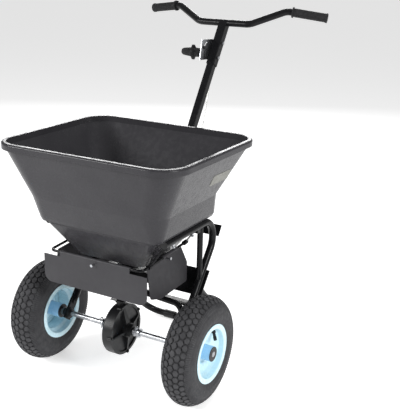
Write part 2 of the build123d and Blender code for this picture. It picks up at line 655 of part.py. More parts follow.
def side_plane(side):
    """Frame on a side run of the rod: X runs back along the rod and Y up across the tilted panel."""
    along = rod_direction(side)
    origin = Vector(side * ROD_HALF, 0, ROD_FRONT_Z + (0 - ROD_FRONT_Y) * along.Z / along.Y)
    down = Vector(side * sin(radians(SIDE_FLAP_TILT)), 0, -cos(radians(SIDE_FLAP_TILT)))
    normal = along.cross(down * -1)
    return Plane(origin=origin, x_dir=along, z_dir=normal)


def side_flap(side):
    """Side deflector: trapezoid sheet, curled round the rod over its middle."""
    outline = [(-56, 4 - SIDE_FLAP_DROP), (88, -SIDE_FLAP_DROP), (108, -62), (90, -8), (58, -8), (58, 0)]
    outline += [(-22, 0), (-22, -8), (-98, -8), (-107, 22 - SIDE_FLAP_DROP)]
    face = make_face(Polyline(*outline, close=True))
    low = face.vertices().sort_by(Axis.Y)[:4]
    panel = extrude(fillet(low, 12), amount=FLAP_SHEET)
    offset = ROD_R + GAP if side < 0 else -ROD_R - GAP - FLAP_SHEET
    panel = Pos(0, 0, offset) * panel
    curl = Pos(18, 0, 0) * Rot(0, 90, 0) * Cylinder(CURL_R, 80)
    body = panel + curl - Pos(18, 0, 0) * Rot(0, 90, 0) * Cylinder(ROD_R + GAP, 90)
    body -= Pos(3, -11, 0) * Cylinder(2.6, 40)
    return side_plane(side) * body


def clip_block(local=False):
    """Clamp screw of a deflector and its nut, just below the curl."""
    screw = Cylinder(2.5, 22) + Pos(0, 0, 10) * extrude(RegularPolygon(4.6, 6), amount=3)
    screw += Pos(0, 0, -13) * extrude(RegularPolygon(4.6, 6), amount=3)
    if local:
        return Pos(3, -11, 0) * screw
    return Pos(0, ROD_FRONT_Y - ROD_R - GAP - FLAP_SHEET / 2, ROD_FRONT_Z - 11) * Rot(90, 0, 0) * screw


def hanger(side, top_y, low_y, rod):
    """Bent strap that carries the rod from a hopper rail."""
    along = rod_direction(side)
    rod_z = ROD_FRONT_Z + (low_y - ROD_FRONT_Y) * along.Z / along.Y
    start = Vector(side * (FRAME_HALF - 4), top_y, TOP_RUN_Z - TUBE_R - 1)
    end = Vector(side * (ROD_HALF + 2), low_y, rod_z + 2)
    run = end - start
    plane = Plane(origin=start + run / 2, x_dir=(0, 1, 0), z_dir=run)
    strap = plane * Box(16, 3, run.length)
    eye = Plane(origin=(side * ROD_HALF, low_y, rod_z), z_dir=along) * Cylinder(ROD_R + 3, 16)
    foot = block(side * FRAME_HALF - 10, side * FRAME_HALF + 10, top_y - 8, top_y + 8, TOP_RUN_Z - TUBE_R - 5, TOP_RUN_Z)
    return main_piece(strap + eye + foot - rod - solid_rails())


# ---------------------------------------------------------------- handle and flow control


def handle_group():
    low, high = on_post(305), on_post(1008)
    run = high - low
    plane = Plane(origin=low + run / 2, x_dir=(1, 0, 0), z_dir=run)
    side, inner = POST_SIDE, POST_SIDE - 3
    post = extrude(plane.offset(-run.length / 2) * (RectangleRounded(side, side, 3) - Rectangle(inner, inner)), run.length)
    bar_centre = on_post(BAR_Z)
    start = bar_centre - POST_DIR * SLEEVE_LENGTH
    base = Plane(origin=start, x_dir=(1, 0, 0), z_dir=POST_DIR)
    hole = SLEEVE_SIDE - 2 * SLEEVE_WALL
    sleeve = extrude(base * (RectangleRounded(SLEEVE_SIDE, SLEEVE_SIDE, 4) - Rectangle(hole, hole)), SLEEVE_LENGTH)
    path = FilletPolyline(*HANDLEBAR, radius=HANDLEBAR_BENDS)
    start_plane = Plane(origin=path @ 0, z_dir=path % 0)
    bar = sweep(start_plane * (Circle(BAR_R) - Circle(BAR_R - TUBE_WALL)), path=path)
    filled = sweep(start_plane * Circle(BAR_R), path=path)
    sleeve = main_piece(sleeve - filled)
    bolts = []
    for height in SLEEVE_BOLTS_Z:
        centre = on_post(height)
        bolts.append(bolt(tuple(centre), (1, 0, 0), 35, 3, 5.8, 3.5))
    for height, reach in POST_BOLTS:
        centre = on_post(height) - POST_BACK * 3
        bolts.append(bolt(tuple(centre), tuple(POST_BACK), reach, 3, 5.8, 3.5))
    for fastener in bolts:
        post -= fastener
        sleeve -= fastener
        for name in ("rear_cross_plate", "upper_cross_strap"):
            PARTS[name] = main_piece(PARTS[name] - fastener)
    keep("handle_post", main_piece(post))
    keep("handlebar", bar + main_piece(sleeve))
    keep("frame_bolts", *FASTENERS, *bolts)
    for side, name in ((-1, "left_grip"), (1, "right_grip")):
        keep(name, grip(side, HANDLEBAR[4], HANDLEBAR[5]))


def grip(side, inner, outer):
    """Foam sleeve with an inner flange and a closed, slightly flared end."""
    inner, outer = Vector(*inner), Vector(*outer)
    run = (outer - inner).normalized()
    start, length = inner + run * 18, (outer - inner).length - 18
    base = Plane(origin=start, z_dir=run)
    body = base * Pos(0, 0, length / 2 + 2) * Cylinder(GRIP_R, length + 4)
    flange = base * Pos(0, 0, 2.5) * Cylinder(GRIP_R + 3.5, 5)
    flare = base * Pos(0, 0, length + 1.5) * Cylinder(GRIP_R + 1.5, 5)
    cut = base * Pos(0, 0, length / 2 - 5) * Cylinder(BAR_R, length + 10)
    whole = body + flange + flare - cut
    return whole if side > 0 else mirror(whole, Plane.YZ)


def swung(pivot, length, angle):
    return (pivot[0] + length * cos(radians(angle)), pivot[1] + length * sin(radians(angle)))


def crank_points():
    """Bell crank at rest: pivot, rod eye and gate pin, as (y, z)."""
    return CRANK_PIVOT, swung(CRANK_PIVOT, LEVER_ARM, -SWING / 2), swung(CRANK_PIVOT, CRANK_DROP, -90 - SWING / 2)


def link_plate(x0, x1, points, radius):
    """Flat bar round a row of (y, z) points."""
    plate = None
    for start, end in zip(points, points[1:]):
        run = Vector(0, end[0] - start[0], end[1] - start[1])
        middle = ((x0 + x1) / 2, (start[0] + end[0]) / 2, (start[1] + end[1]) / 2)
        bar = Plane(origin=middle, x_dir=(1, 0, 0), z_dir=run) * Box(abs(x1 - x0), 2 * radius, run.length)
        bar = bar + bar_x(radius, x0, x1, *start) + bar_x(radius, x0, x1, *end)
        plate = bar if plate is None else plate + bar
    return plate


def control_group():
    sleeve_face = -SLEEVE_SIDE / 2
    outline = [(502, 1001), (596, 996), (628, 952), (545, 932), (489, 935)]
    profile = make_face(Polyline(*[(0, y, z) for y, z in outline], close=True))
    plate = extrude(profile, amount=-2, dir=(1, 0, 0))
    plate = Pos(sleeve_face, 0, 0) * plate
    slot_low, slot_high = Vector(0, 515, 974), Vector(0, 533, 989)
    slot = link_plate(-22, -10, [(slot_low.Y, slot_low.Z), (slot_high.Y, slot_high.Z)], 3.2)
    pivot_pin = bar_x(4, LEVER_X - 6, sleeve_face + 2, *LEVER_PIVOT) + bar_x(7, LEVER_X - 8, LEVER_X - 4, *LEVER_PIVOT)
    spacer = bar_x(8, LEVER_X + 2.2, sleeve_face - 2, *LEVER_PIVOT)
    keep("lever_plate", plate - slot - pivot_pin - PARTS["frame_bolts"])
    PARTS["handlebar"] = main_piece(PARTS["handlebar"] - pivot_pin)
    pivot_bolt = pivot_pin + spacer
    rod_top = swung(LEVER_PIVOT, LEVER_ARM, -SWING / 2)
    arm = link_plate(LEVER_X - 2, LEVER_X + 2, [GRIP_AT, LEVER_PIVOT, rod_top], 9)
    arm -= bar_x(4 + GAP, -60, 0, *LEVER_PIVOT) + bar_x(WIRE_R + 0.1, -60, 0, *rod_top)
    spindle = bar_x(4, LEVER_X - 74, LEVER_X, *GRIP_AT)
    keep("flow_lever", arm + spindle)
    keep("lever_grip", lever_knob() - bar_x(4, -200, 0, *GRIP_AT))
    stop = bar_x(3.0, -20.0, -12.0, slot_low.Y, slot_low.Z) + bar_x(5.2, -20.4, -17.3, slot_low.Y, slot_low.Z)
    stop += bar_x(5.2, -14.7, -11.5, slot_low.Y, slot_low.Z)
    keep("rate_stop", stop)
    crank_pivot, crank_eye, crank_pin = crank_points()
    hook_x = LEVER_X + 5
    wire = [(hook_x, *rod_top), (ROD_X, *rod_top), (ROD_X, *ROD_KNEE), (ROD_X, *crank_eye), (hook_x, *crank_eye)]
    keep("control_rod", tube(wire, [ROD_HOOK_BEND, ROD_KNEE_BEND, ROD_HOOK_BEND], WIRE_R))
    crank = link_plate(LEVER_X - 2, LEVER_X + 2, [crank_eye, crank_pivot, crank_pin], 8)
    crank -= bar_x(4 + GAP, -60, 0, *crank_pivot) + bar_x(WIRE_R + 0.1, -60, 0, *crank_eye)
    crank += bar_x(PIN_R, ROD_X - 5, LEVER_X, *crank_pin)
    keep("bell_crank", crank)
    bracket = link_plate(-15.6, -POST_SIDE / 2, [(on_post(463).Y, 463), crank_pivot], 13)
    pin = bar_x(4, LEVER_X - 4.5, -POST_SIDE / 2 + 0.1, *crank_pivot) + bar_x(7, LEVER_X - 6, LEVER_X - 2.4, *crank_pivot)
    pin += bar_x(8, LEVER_X + 2.4, -15.6, *crank_pivot)
    keep("crank_bracket", main_piece(bracket - pin - post_bar() - PARTS["upper_cross_strap"]))
    keep("pivot_bolts", pivot_bolt, pin)


def post_bar():
    low, high = on_post(300), on_post(600)
    run = high - low
    plane = Plane(origin=low + run / 2, x_dir=(1, 0, 0), z_dir=run)
    return plane * Box(POST_SIDE, POST_SIDE, run.length)


def lever_knob():
    """Two tapered, ribbed sleeves with a flange between them."""
    y, z = GRIP_AT
    x0 = LEVER_X - 3
    profile = [(0, 0), (9, 0), (12, 6), (12, 26), (14, 33), (18, 34), (18, 40), (14, 41), (12, 48), (11, 62), (8, 70), (0, 72)]
    outline = make_face(Polyline(*[(-a, r) for r, a in profile], close=True))
    knob = revolve(outline, Axis.X)
    return Pos(x0, y, z) * knob


# ---------------------------------------------------------------- build and write


def write_parts():
    os.makedirs("parts", exist_ok=True)
    for name, shape in PARTS.items():
        export_step(Pos(0, AXLE_Y, 0) * shape, f"parts/{name}.step")


wheel(1, "right")
wheel(-1, "left")
axle_group()
gearbox_group()
gears()
impeller_group()
bearings()
frame_group()
stand_group()
hopper_group()
gate_group()
deflector_group()
handle_group()
control_group()
write_parts()
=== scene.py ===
import json
from math import atan2, cos, hypot, pi, radians, sin

import bmesh
import bpy
from mathutils import Matrix, Vector


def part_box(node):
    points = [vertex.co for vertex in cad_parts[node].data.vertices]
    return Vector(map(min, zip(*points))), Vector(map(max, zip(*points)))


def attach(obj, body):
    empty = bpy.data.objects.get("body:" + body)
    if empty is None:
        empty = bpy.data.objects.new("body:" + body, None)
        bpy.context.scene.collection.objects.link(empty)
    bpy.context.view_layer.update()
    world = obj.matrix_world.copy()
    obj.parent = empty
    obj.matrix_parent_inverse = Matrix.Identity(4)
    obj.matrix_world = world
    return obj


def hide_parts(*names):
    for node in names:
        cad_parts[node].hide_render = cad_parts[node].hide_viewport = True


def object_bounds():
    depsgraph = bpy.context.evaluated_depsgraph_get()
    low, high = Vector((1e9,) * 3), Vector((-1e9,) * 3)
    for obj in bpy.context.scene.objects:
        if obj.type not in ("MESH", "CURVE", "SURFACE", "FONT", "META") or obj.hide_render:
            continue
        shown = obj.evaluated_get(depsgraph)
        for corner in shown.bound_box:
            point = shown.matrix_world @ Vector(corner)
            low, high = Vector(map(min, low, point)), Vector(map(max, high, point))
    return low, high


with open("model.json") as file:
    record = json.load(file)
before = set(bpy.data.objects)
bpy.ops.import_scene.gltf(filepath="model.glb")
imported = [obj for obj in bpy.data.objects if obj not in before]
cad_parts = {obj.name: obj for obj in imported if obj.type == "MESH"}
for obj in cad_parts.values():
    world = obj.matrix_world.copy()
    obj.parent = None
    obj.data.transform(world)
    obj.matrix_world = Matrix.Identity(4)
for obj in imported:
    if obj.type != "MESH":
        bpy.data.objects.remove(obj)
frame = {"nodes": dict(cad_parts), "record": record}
cad_low, cad_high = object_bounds()

# Sizes are in millimetres, measured like the CAD model's: y from the axle, z from the ground.
MM = 0.001
AXLE_LOW, AXLE_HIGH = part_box("axle")
AXLE_CENTRE = (AXLE_LOW + AXLE_HIGH) / 2

# Tyre profile, as (distance from the wheel's mid plane, radius)
CROWN = ((34, 152), (0, 165), (-34, 152))
SHOULDER = ((34, 152), (42.5, 142), (46.5, 129))
SIDEWALL = ((46.5, 129), (48.5, 108), (43.6, 89.5))
HIDDEN_INSIDE = ((42.5, 76.4), (34, 76.4), (40, 108), (38, 130), (28, 144), (0, 155))
CROWN_STEPS, SHOULDER_STEPS, SIDEWALL_STEPS = 20, 5, 12
TYRE_STEPS = 150

# Moulded rings on the sidewall: which point of its arc, and how far out it is moved
SIDEWALL_RINGS = ((1, 0.7), (2, -0.3), (6, 0.8), (7, -0.2))

# Honeycomb tread: knobs around the tyre, in rows across it. Each level of a knob is its height above
# the carcass, and how much wider or narrower it is there, as a share of the honeycomb cell.
TREAD_DEPTH = 4.6
KNOBS = 47
KNOB_ROWS = (-2, -1, 0, 1, 2)
ROW_SPACING = 16.5
KNOB_GROOVE = 4.8
KNOB_CORNER_CUT = 0.16
KNOB_LEVELS = ((-0.4, 0.05), (TREAD_DEPTH - 0.8, 0), (TREAD_DEPTH, -0.09))
KNOB_DISH = 0.25

# Ridges down the shoulder. Half a ridge's foot is RIB_SHARE of the pitch, and its flat top is
# RIB_TOP_SHARE of its foot. The foot is sunk by RIB_ROOT and the top by RIB_TOP_SINK, so that the
# ridge's low end runs out in the rubber.
RIBS_PER_KNOB = 3
RIB_HEIGHT = 1.3
RIB_STEPS = 6
RIB_SHARE = 0.33
RIB_TOP_SHARE = 0.6
RIB_ROOT = 0.3
RIB_TOP_SINK = 0.1

# Rim outline, outer side first, and its dished disc, with the radius that softens their corners
RIM_OUTLINE = (
    (46.5, 89), (43.8, 89), (42.8, 76), (27, 75), (21, 66), (-21, 66), (-27, 75), (-42.8, 76), (-43.8, 89),
    (-46.5, 89), (-46.5, 84), (-45, 73.5), (-28.4, 72.4), (-22, 63.5),
    (22, 63.5), (28.4, 72.4), (45, 73.5), (46.5, 84),
)
DISC_OUTLINE = (
    (28.4, 73.6), (19, 60), (14, 38), (9, 32), (9, 22.6),
    (6.5, 22.6), (6.5, 33), (11.5, 39.5), (16, 62), (21, 68),
)
RIM_SOFTNESS, DISC_SOFTNESS = 2.2, 5
RIM_STEPS = 128

# Handlebar grips. Their outlines are (along, radius), the collar's from the grip's start and the cap's
# from the end of the handlebar.
GRIP_INNER = (206, 683.5, 1095)
GRIP_OUTER = (334, 718, 1078.5)
GRIP_START = 18
GRIP_R = 14.6
GRIP_COLLAR = ((0, 11.6), (0, GRIP_R + 2.6), (4.5, GRIP_R + 3.4), (5.5, GRIP_R))
GRIP_CAP = ((-1, GRIP_R + 1.4), (3, GRIP_R + 1.2), (4, GRIP_R - 2), (4, 0))
GRIP_PLAIN_START, GRIP_PLAIN_END = 8, 4
GRIP_RIBS = 26
GRIP_RIB_FROM, GRIP_RIB_TO = 0.25, 0.7
GRIP_GROOVE = 1
GRIP_STEPS = 48

# The flow lever's knob, as (along, radius) outlines: two fluted sleeves with an eared flange between
LEVER_KNOB_AT = (-28, 531, 954)
NEAR_SLEEVE = ((0, 4), (0, 12), (1.5, 13.6), (14, 14.8), (29, 15.6))
FLANGE = ((32, 19), (39, 19))
FAR_SLEEVE = ((42, 15.4), (58, 13.8), (72, 12), (77, 9.5), (79, 5), (79, 0))
# Flutes are cut where the radius is in this range, by a share of it. The powers widen a flute and
# sharpen an ear.
FLUTES = 14
FLUTE_DEPTH = 0.09
FLUTE_POWER = 0.6
FLUTED_FROM, FLUTED_TO = 12, 17
EAR_HEIGHT = 6.0
EAR_POWER = 14
LEVER_KNOB_STEPS = 112

# Blank label on the hopper's right wall: y and z of its corners, how far its two faces stand out, and
# the wall's x and z at its lower edge with its lean
LABEL_CORNERS = ((76, 641), (190, 639), (186, 672), (79, 674))
LABEL_FACES = (0.1, 0.7)
LABEL_SOFTNESS = 4
HOPPER_WALL_X, HOPPER_WALL_Z = 230, 592
HOPPER_WALL_LEAN = 64 / 141

# Points that each softened corner gets, less one, and the share of a side that it may use up
SOFTENING_STEPS = 4
SOFTENING_SHARE = 0.45

# Camera, in the CAD model's millimetres, with the directions of its axes. It sees this far, in metres.
CAMERA_AT = (1249, -1798, 1265)
CAMERA_RIGHT = (0.8737, 0.4860, 0.0244)
CAMERA_UP = (-0.1682, 0.2544, 0.9524)
CAMERA_BACK = (0.4566, -0.8361, 0.3040)
CAMERA_LENS = 68.57
CAMERA_SEES = 200

# Pale floor, in metres, with the light that it gives off by itself, as a lit studio table does
FLOOR_HALF = 60
FLOOR_COLOUR = (0.85, 0.85, 0.85)
FLOOR_ROUGHNESS = 0.9
FLOOR_GLOW = 0.56
FLOOR_SPECULAR = 0.2

# Soft light all round, and the lamps: name, place and size in metres, and power in watts
WORLD_LIGHT = 0.24
LAMPS = (
    ("front_softbox", (-2.4, -2.9, 2.0), (2.0, 1.0), 115),
    ("right_softbox", (3.4, -1.2, 2.2), (0.5, 1.6), 84),
    ("top_softbox", (0.3, 1.0, 3.6), (2.6, 1.6), 36),
    ("back_softbox", (-1.9, 3.4, 1.9), (3.0, 0.8), 60),
)

# Heights of the fine relief on the surfaces, in metres, and the part of a noise that they vary over
RUBBER_PORES = 0.00005
MOULD_GRAIN = 0.00003
ORANGE_PEEL = 0.00002
DRAWN_STREAKS = 0.00001
NOISE_LOW, NOISE_HIGH = 0.3, 0.7


def at(x, y, z):
    """A point given in the CAD model's millimetres, in metres in the shared frame."""
    return Vector((x * MM, AXLE_CENTRE.y + y * MM, z * MM))


# ---------------------------------------------------------------- materials


def shader(name, colour, roughness, **inputs):
    """A material with one Principled shader. inputs are set on its own sockets."""
    made = bpy.data.materials.new(name)
    made.use_nodes = True
    bsdf = made.node_tree.nodes["Principled BSDF"]
    bsdf.inputs["Base Color"].default_value = (*colour, 1)
    bsdf.inputs["Roughness"].default_value = roughness
    for socket, value in inputs.items():
        bsdf.inputs[socket.replace("_", " ")].default_value = value
    return made


def noise(made, scale, detail, stretch=(1, 1, 1)):
    """Noise in the piece's own coordinates. scale counts features per metre."""
    nodes, links = made.node_tree.nodes, made.node_tree.links
    coordinates = nodes.new("ShaderNodeTexCoord")
    mapping = nodes.new("ShaderNodeMapping")
    texture = nodes.new("ShaderNodeTexNoise")
    mapping.inputs["Scale"].default_value = stretch
    texture.inputs["Scale"].default_value = scale
    texture.inputs["Detail"].default_value = detail
    links.new(coordinates.outputs["Object"], mapping.inputs["Vector"])
    links.new(mapping.outputs["Vector"], texture.inputs["Vector"])
    return texture.outputs["Fac"]


def vary(made, socket, source, low, high):
    """Drives one socket between two values, or two colours, from a noise."""
    nodes, links = made.node_tree.nodes, made.node_tree.links
    ramp = nodes.new("ShaderNodeValToRGB")
    stops = ramp.color_ramp.elements
    for stop, place, value in ((stops[0], NOISE_LOW, low), (stops[1], NOISE_HIGH, high)):
        stop.position = place
        stop.color = (*value, 1) if isinstance(value, tuple) else (value, value, value, 1)
    links.new(source, ramp.inputs["Fac"])
    links.new(ramp.outputs["Color"], nodes["Principled BSDF"].inputs[socket])


def bump(made, source, height):
    """Raises the surface by a noise. height is in metres."""
    nodes, links = made.node_tree.nodes, made.node_tree.links
    node = nodes.new("ShaderNodeBump")
    node.inputs["Distance"].default_value = height
    links.new(source, node.inputs["Height"])
    links.new(node.outputs["Normal"], nodes["Principled BSDF"].inputs["Normal"])


def rubber(name, dark, light, grain):
    """Moulded rubber: fine pores, and patches that dust has greyed."""
    made = shader(name, dark, 0.7, Specular_IOR_Level=0.3)
    vary(made, "Base Color", noise(made, 45, 5), dark, light)
    vary(made, "Roughness", noise(made, 130, 4), 0.52, 0.8)
    bump(made, noise(made, grain, 4), RUBBER_PORES)
    return made


def moulded(name, dark, light, roughness, grain, specular=0.3):
    """Moulded plastic: a fine matt grain, and slow changes of tone and gloss."""
    made = shader(name, dark, roughness, Specular_IOR_Level=specular)
    vary(made, "Base Color", noise(made, 9, 4), dark, light)
    vary(made, "Roughness", noise(made, 60, 4), roughness - 0.07, roughness + 0.08)
    bump(made, noise(made, grain, 2), MOULD_GRAIN)
    return made


def enamel(name, dark, light, roughness, coat, specular=0.4):
    """Sprayed or powder-coated paint: orange peel under a clear gloss."""
    inputs = {"Specular_IOR_Level": specular, "Coat_Weight": coat, "Coat_Roughness": 0.08}
    made = shader(name, dark, roughness, **inputs)
    vary(made, "Base Color", noise(made, 14, 3), dark, light)
    vary(made, "Roughness", noise(made, 90, 4), roughness - 0.06, roughness + 0.08)
    bump(made, noise(made, 420, 2), ORANGE_PEEL)
    return made


def metal(name, dark, light, roughness, stretch):
    """Plated or bare steel: streaks along the way it was drawn, and cloudy plating."""
    made = shader(name, dark, roughness, Metallic=1.0)
    vary(made, "Base Color", noise(made, 35, 5), dark, light)
    vary(made, "Roughness", noise(made, 700, 3, stretch), roughness - 0.08, roughness + 0.12)
    bump(made, noise(made, 900, 2, stretch), DRAWN_STREAKS)
    return made


FINISH = {
    "tyre_rubber": rubber("tyre_sidewall", (0.032, 0.032, 0.035), (0.046, 0.046, 0.049), 1400),
    "rim_paint": enamel("rim_enamel", (0.58, 0.84, 0.93), (0.65, 0.88, 0.96), 0.26, 0.6),
    "hub_steel": enamel("hub_enamel", (0.30, 0.56, 0.82), (0.36, 0.61, 0.86), 0.30, 0.5),
    "black_plastic": moulded("black_moulding", (0.008, 0.008, 0.009), (0.013, 0.013, 0.014), 0.38, 1200),
    "valve_rubber": rubber("valve_rubber", (0.010, 0.010, 0.011), (0.016, 0.016, 0.017), 1800),
    "zinc_steel": metal("zinc_plate", (0.34, 0.35, 0.37), (0.50, 0.51, 0.53), 0.28, (0.08, 1, 1)),
    "wire_steel": metal("bare_wire", (0.45, 0.45, 0.44), (0.64, 0.64, 0.62), 0.32, (1, 1, 0.08)),
    "hopper_plastic": moulded("hopper_grain", (0.033, 0.032, 0.036), (0.041, 0.040, 0.044), 0.26, 900, 0.2),
    "black_powder_coat": enamel(
        "black_gloss_coat", (0.006, 0.006, 0.007), (0.010, 0.010, 0.011), 0.24, 0.0, 0.14),
    "deflector_coat": moulded("grey_matt_coat", (0.032, 0.031, 0.035), (0.040, 0.039, 0.043), 0.50, 1600),
    "grip_rubber": rubber("grip_rubber", (0.008, 0.008, 0.009), (0.013, 0.013, 0.014), 1500),
}
# The knobs and shoulder ribs get a lighter rubber than the carcass: a painted highlight for light on the knob
# tops, which leaves the carcass in the grooves between them darker as painted shade.
TREAD_SLOT = 1
TREAD = rubber("tyre_tread_painted_light", (0.034, 0.034, 0.037), (0.060, 0.060, 0.064), 1400)
LABEL = moulded("blank_label", (0.16, 0.16, 0.14), (0.19, 0.19, 0.17), 0.42, 500)

for subpart in frame["record"]["subparts"]:
    node = frame["nodes"].get(subpart["node"]) if "node" in subpart else None
    if node:
        node.data.materials.clear()
        node.data.materials.append(FINISH[subpart["material_slot"]])


# ---------------------------------------------------------------- mesh helpers


def arc(start, middle, end, count):
    """Evenly spaced points on the circle through three points."""
    (ax, ay), (bx, by), (cx, cy) = start, middle, end
    a, b, c = (x * x + y * y for x, y in (start, middle, end))
    double = 2 * (ax * (by - cy) + bx * (cy - ay) + cx * (ay - by))
    ox = (a * (by - cy) + b * (cy - ay) + c * (ay - by)) / double
    oy = (a * (cx - bx) + b * (ax - cx) + c * (bx - ax)) / double
    radius = hypot(ax - ox, ay - oy)
    first, last = atan2(ay - oy, ax - ox), atan2(cy - oy, cx - ox)
    angles = [first + (last - first) * k / count for k in range(count + 1)]
    return [(ox + radius * cos(angle), oy + radius * sin(angle)) for angle in angles]


def rounded(points, radius):
    """Softens the corners of a closed outline."""
    result = []
    for index, corner in enumerate(points):
        middle = Vector(corner)
        before = Vector(points[index - 1]) - middle
        after = Vector(points[(index + 1) % len(points)]) - middle
        start = middle + before.normalized() * min(radius, before.length * SOFTENING_SHARE)
        end = middle + after.normalized() * min(radius, after.length * SOFTENING_SHARE)
        for step in range(SOFTENING_STEPS + 1):
            t = step / SOFTENING_STEPS
            result.append(tuple(start * (1 - t) ** 2 + middle * 2 * t * (1 - t) + end * t * t))
    return result


def revolve(shape, outline, place, steps, closed=True):
    """Turns an outline of (along, radius) in millimetres about the X axis of place."""
    rings = []
    for step in range(steps):
        turn = 2 * pi * step / steps
        spots = [place @ Vector((x * MM, r * MM * sin(turn), r * MM * cos(turn))) for x, r in outline]
        rings.append([shape.verts.new(spot) for spot in spots])
    for ring, following in zip(rings, rings[1:] + rings[:1]):
        for index in range(len(outline) if closed else len(outline) - 1):
            after = (index + 1) % len(outline)
            shape.faces.new((ring[index], following[index], following[after], ring[after]))
    return rings


def piece(name, shape, body, materials, replaced=(), crease=35):
    """Makes an object from a mesh under construction and hangs it on a CAD body."""
    bmesh.ops.remove_doubles(shape, verts=shape.verts, dist=1e-6)
    bmesh.ops.recalc_face_normals(shape, faces=shape.faces)
    mesh = bpy.data.meshes.new(name)
    shape.to_mesh(mesh)
    shape.free()
    for finish in materials:
        mesh.materials.append(finish)
    mesh.shade_smooth()
    mesh.set_sharp_from_angle(angle=radians(crease))
    made = bpy.data.objects.new(name, mesh)
    bpy.context.scene.collection.objects.link(made)
    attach(made, body)
    if replaced:
        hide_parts(*replaced)
    return made


# ---------------------------------------------------------------- wheels


def centre(node):
    """Middle of a CAD node's box."""
    low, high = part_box(node)
    return (low + high) / 2


def tyre_outline():
    """Carcass between the knobs, with the sidewall's fine moulded rings, and the hidden inside."""
    crown = [inset(*point) for point in arc(*CROWN, CROWN_STEPS)]
    shoulder = [inset(*point, RIB_HEIGHT) for point in arc(*SHOULDER, SHOULDER_STEPS)][1:-1]
    wall = arc(*SIDEWALL, SIDEWALL_STEPS)
    for index, raised in SIDEWALL_RINGS:
        wall[index] = (wall[index][0] + raised, wall[index][1])
    side = shoulder + wall
    under = list(HIDDEN_INSIDE) + [(-x, r) for x, r in reversed(HIDDEN_INSIDE[:-1])]
    return crown[::-1] + side + under + [(-x, r) for x, r in reversed(side)]


def inset(x, r, depth=TREAD_DEPTH):
    """Moves a profile point towards the middle of the tyre's section."""
    inward = Vector((-x, CROWN_CENTRE - r)).normalized() * depth
    return x + inward.x, r + inward.y


def crown_circle():
    """Radius of the crown's arc across the tyre, and the height of its centre."""
    half, drop = CROWN[0][0], CROWN[1][1] - CROWN[0][1]
    radius = (half * half + drop * drop) / (2 * drop)
    return radius, CROWN[1][1] - radius


CROWN_RADIUS, CROWN_CENTRE = crown_circle()


def on_crown(place, around, across, height):
    """Point on the tread: around and across it in millimetres, height above the carcass."""
    tilt, turn = across / CROWN_RADIUS, around / CROWN[1][1]
    reach = CROWN_RADIUS - TREAD_DEPTH + height
    x, r = reach * sin(tilt), CROWN_CENTRE + reach * cos(tilt)
    return place @ Vector((x * MM, r * MM * sin(turn), r * MM * cos(turn)))


def knob_outline(pitch):
    """Honeycomb cell with its corners cut, as (around, across)."""
    cell = [(0, 2 / 3), (0.5, 1 / 3), (0.5, -1 / 3), (0, -2 / 3), (-0.5, -1 / 3), (-0.5, 1 / 3)]
    cell = [(u * pitch, v * ROW_SPACING) for u, v in cell]
    trimmed = []
    for index, (u, v) in enumerate(cell):
        for other in (cell[index - 1], cell[(index + 1) % 6]):
            trimmed.append((u + (other[0] - u) * KNOB_CORNER_CUT, v + (other[1] - v) * KNOB_CORNER_CUT))
    return trimmed


def add_knob(shape, place, around, across, outline, pitch):
    """One tread knob, with sloping sides and a slightly dished top."""
    shrink = 1 - KNOB_GROOVE / pitch
    rings = []
    for height, spread in KNOB_LEVELS:
        scale = shrink + spread
        spots = [on_crown(place, around + u * scale, across + v * scale, height) for u, v in outline]
        rings.append([shape.verts.new(spot) for spot in spots])
    top = shape.verts.new(on_crown(place, around, across, TREAD_DEPTH - KNOB_DISH))
    for low, high in zip(rings, rings[1:]):
        for index in range(len(outline)):
            after = (index + 1) % len(outline)
            corners = (low[index], low[after], high[after], high[index])
            shape.faces.new(corners).material_index = TREAD_SLOT
    for index in range(len(outline)):
        corners = (rings[-1][index], rings[-1][(index + 1) % len(outline)], top)
        shape.faces.new(corners).material_index = TREAD_SLOT


def add_shoulder_rib(shape, place, turn, side):
    """Low radial ridge that runs from the outer knobs down the shoulder."""
    spine = arc(*SHOULDER, RIB_STEPS)[1:]
    width = 2 * pi / (KNOBS * RIBS_PER_KNOB) * RIB_SHARE
    rows = []
    for index, (x, r) in enumerate(spine):
        deep = inset(x, r, RIB_HEIGHT + RIB_ROOT)
        high = inset(x, r, RIB_TOP_SINK + RIB_HEIGHT * (index / (len(spine) - 1)) ** 3)
        row = []
        for (px, pr), spread in ((deep, -1), (high, -RIB_TOP_SHARE), (high, RIB_TOP_SHARE), (deep, 1)):
            angle = turn + spread * width
            spot = place @ Vector((side * px * MM, pr * MM * sin(angle), pr * MM * cos(angle)))
            row.append(shape.verts.new(spot))
        rows.append(row)
    for row, following in zip(rows, rows[1:]):
        for index in range(len(row) - 1):
            corners = (row[index], row[index + 1], following[index + 1], following[index])
            shape.faces.new(corners).material_index = TREAD_SLOT


def add_tyre(side):
    """Tyre with its knobs and shoulder ribs."""
    node = side + "_tyre"
    place = Matrix.Translation(centre(node))
    shape = bmesh.new()
    revolve(shape, tyre_outline(), place, TYRE_STEPS)
    pitch = 2 * pi * CROWN[1][1] / KNOBS
    outline = knob_outline(pitch)
    for row in KNOB_ROWS:
        for knob in range(KNOBS):
            add_knob(shape, place, (knob + 0.5 * (row % 2)) * pitch, row * ROW_SPACING, outline, pitch)
    for rib in range(KNOBS * RIBS_PER_KNOB):
        for hand in (-1, 1):
            add_shoulder_rib(shape, place, 2 * pi * rib / (KNOBS * RIBS_PER_KNOB), hand)
    body = "axle" if side == "right" else "left_wheel"
    finishes = [FINISH["tyre_rubber"], TREAD]
    piece(side + "_treaded_tyre", shape, body, finishes, [node], 40)


